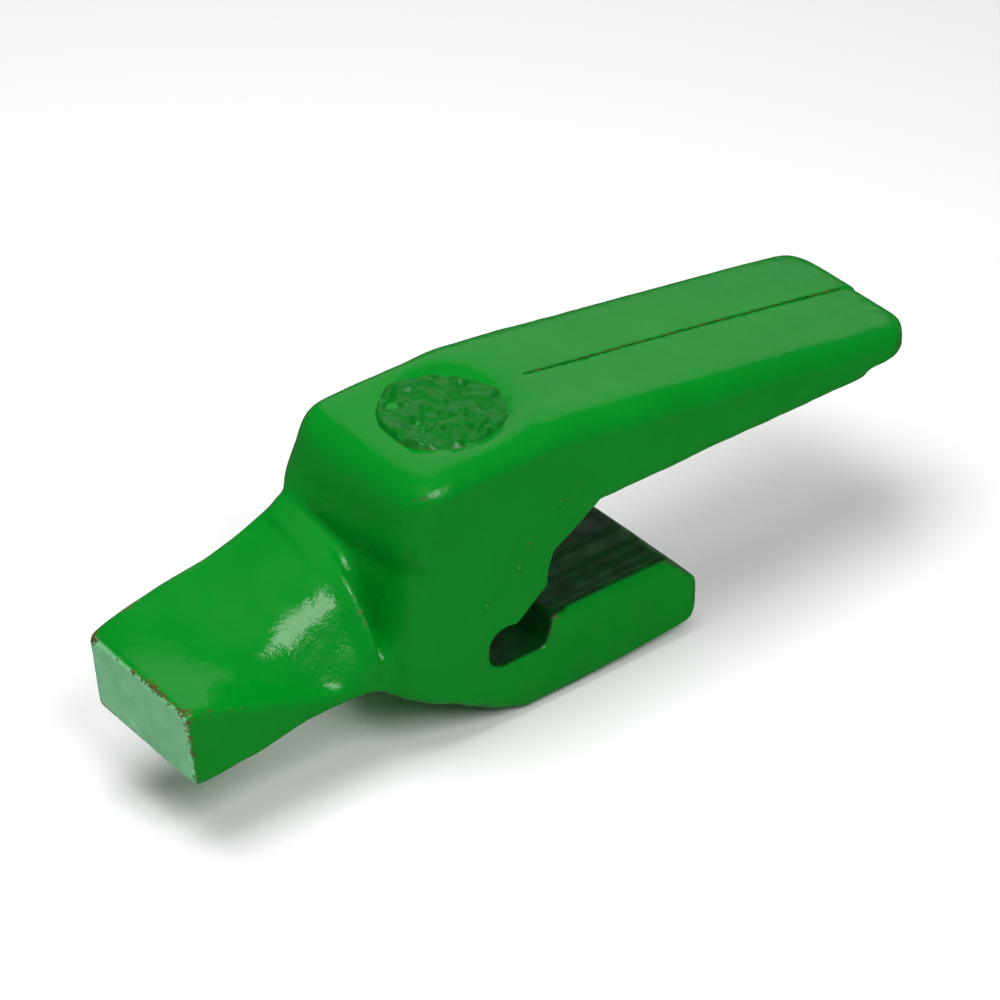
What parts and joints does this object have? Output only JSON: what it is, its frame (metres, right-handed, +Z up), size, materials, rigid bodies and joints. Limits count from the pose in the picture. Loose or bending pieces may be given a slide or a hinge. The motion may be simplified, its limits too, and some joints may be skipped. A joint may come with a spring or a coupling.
{
  "type": "excavator bucket tooth adapter",
  "caption": "Cast steel weld-on bucket tooth adapter: a twisted nose that a wear tip fits over, and a long top and short bottom leg that straddle the lip plate.",
  "frame": {"origin": "on the lower seat plane, mid-width, under the axis of the relief bore at the root of the lip slot", "axes": "+X across the adapter, +Y from the nose to the rear of the legs, +Z up, square to the two seats"},
  "size_m": [0.0966, 0.4204, 0.1508],
  "materials": {
    "cast_green": "glossy green enamel sprayed over as-cast alloy steel",
    "slot_face": "thin green enamel over wrinkled cast seat faces",
    "nose_end": "green enamel, thin and dusty on the end face, rust at its edges",
    "feeder_cut": "green enamel over a torn and ground feeder stub"
  },
  "bodies": {
    "root": {"nose_tip": "nose_end", "nose_core": "cast_green", "shoulder": "cast_green", "crown": "cast_green", "feeder_stub": "feeder_cut", "throat_block": "cast_green", "heel_block": "cast_green", "top_leg": "cast_green", "top_leg_pad": "slot_face", "bottom_leg": "cast_green", "bottom_leg_pad": "slot_face", "parting_fin": "cast_green", "cast_pips_right": "cast_green", "cast_pips_left": "cast_green"}
  },
  "joints": []
}
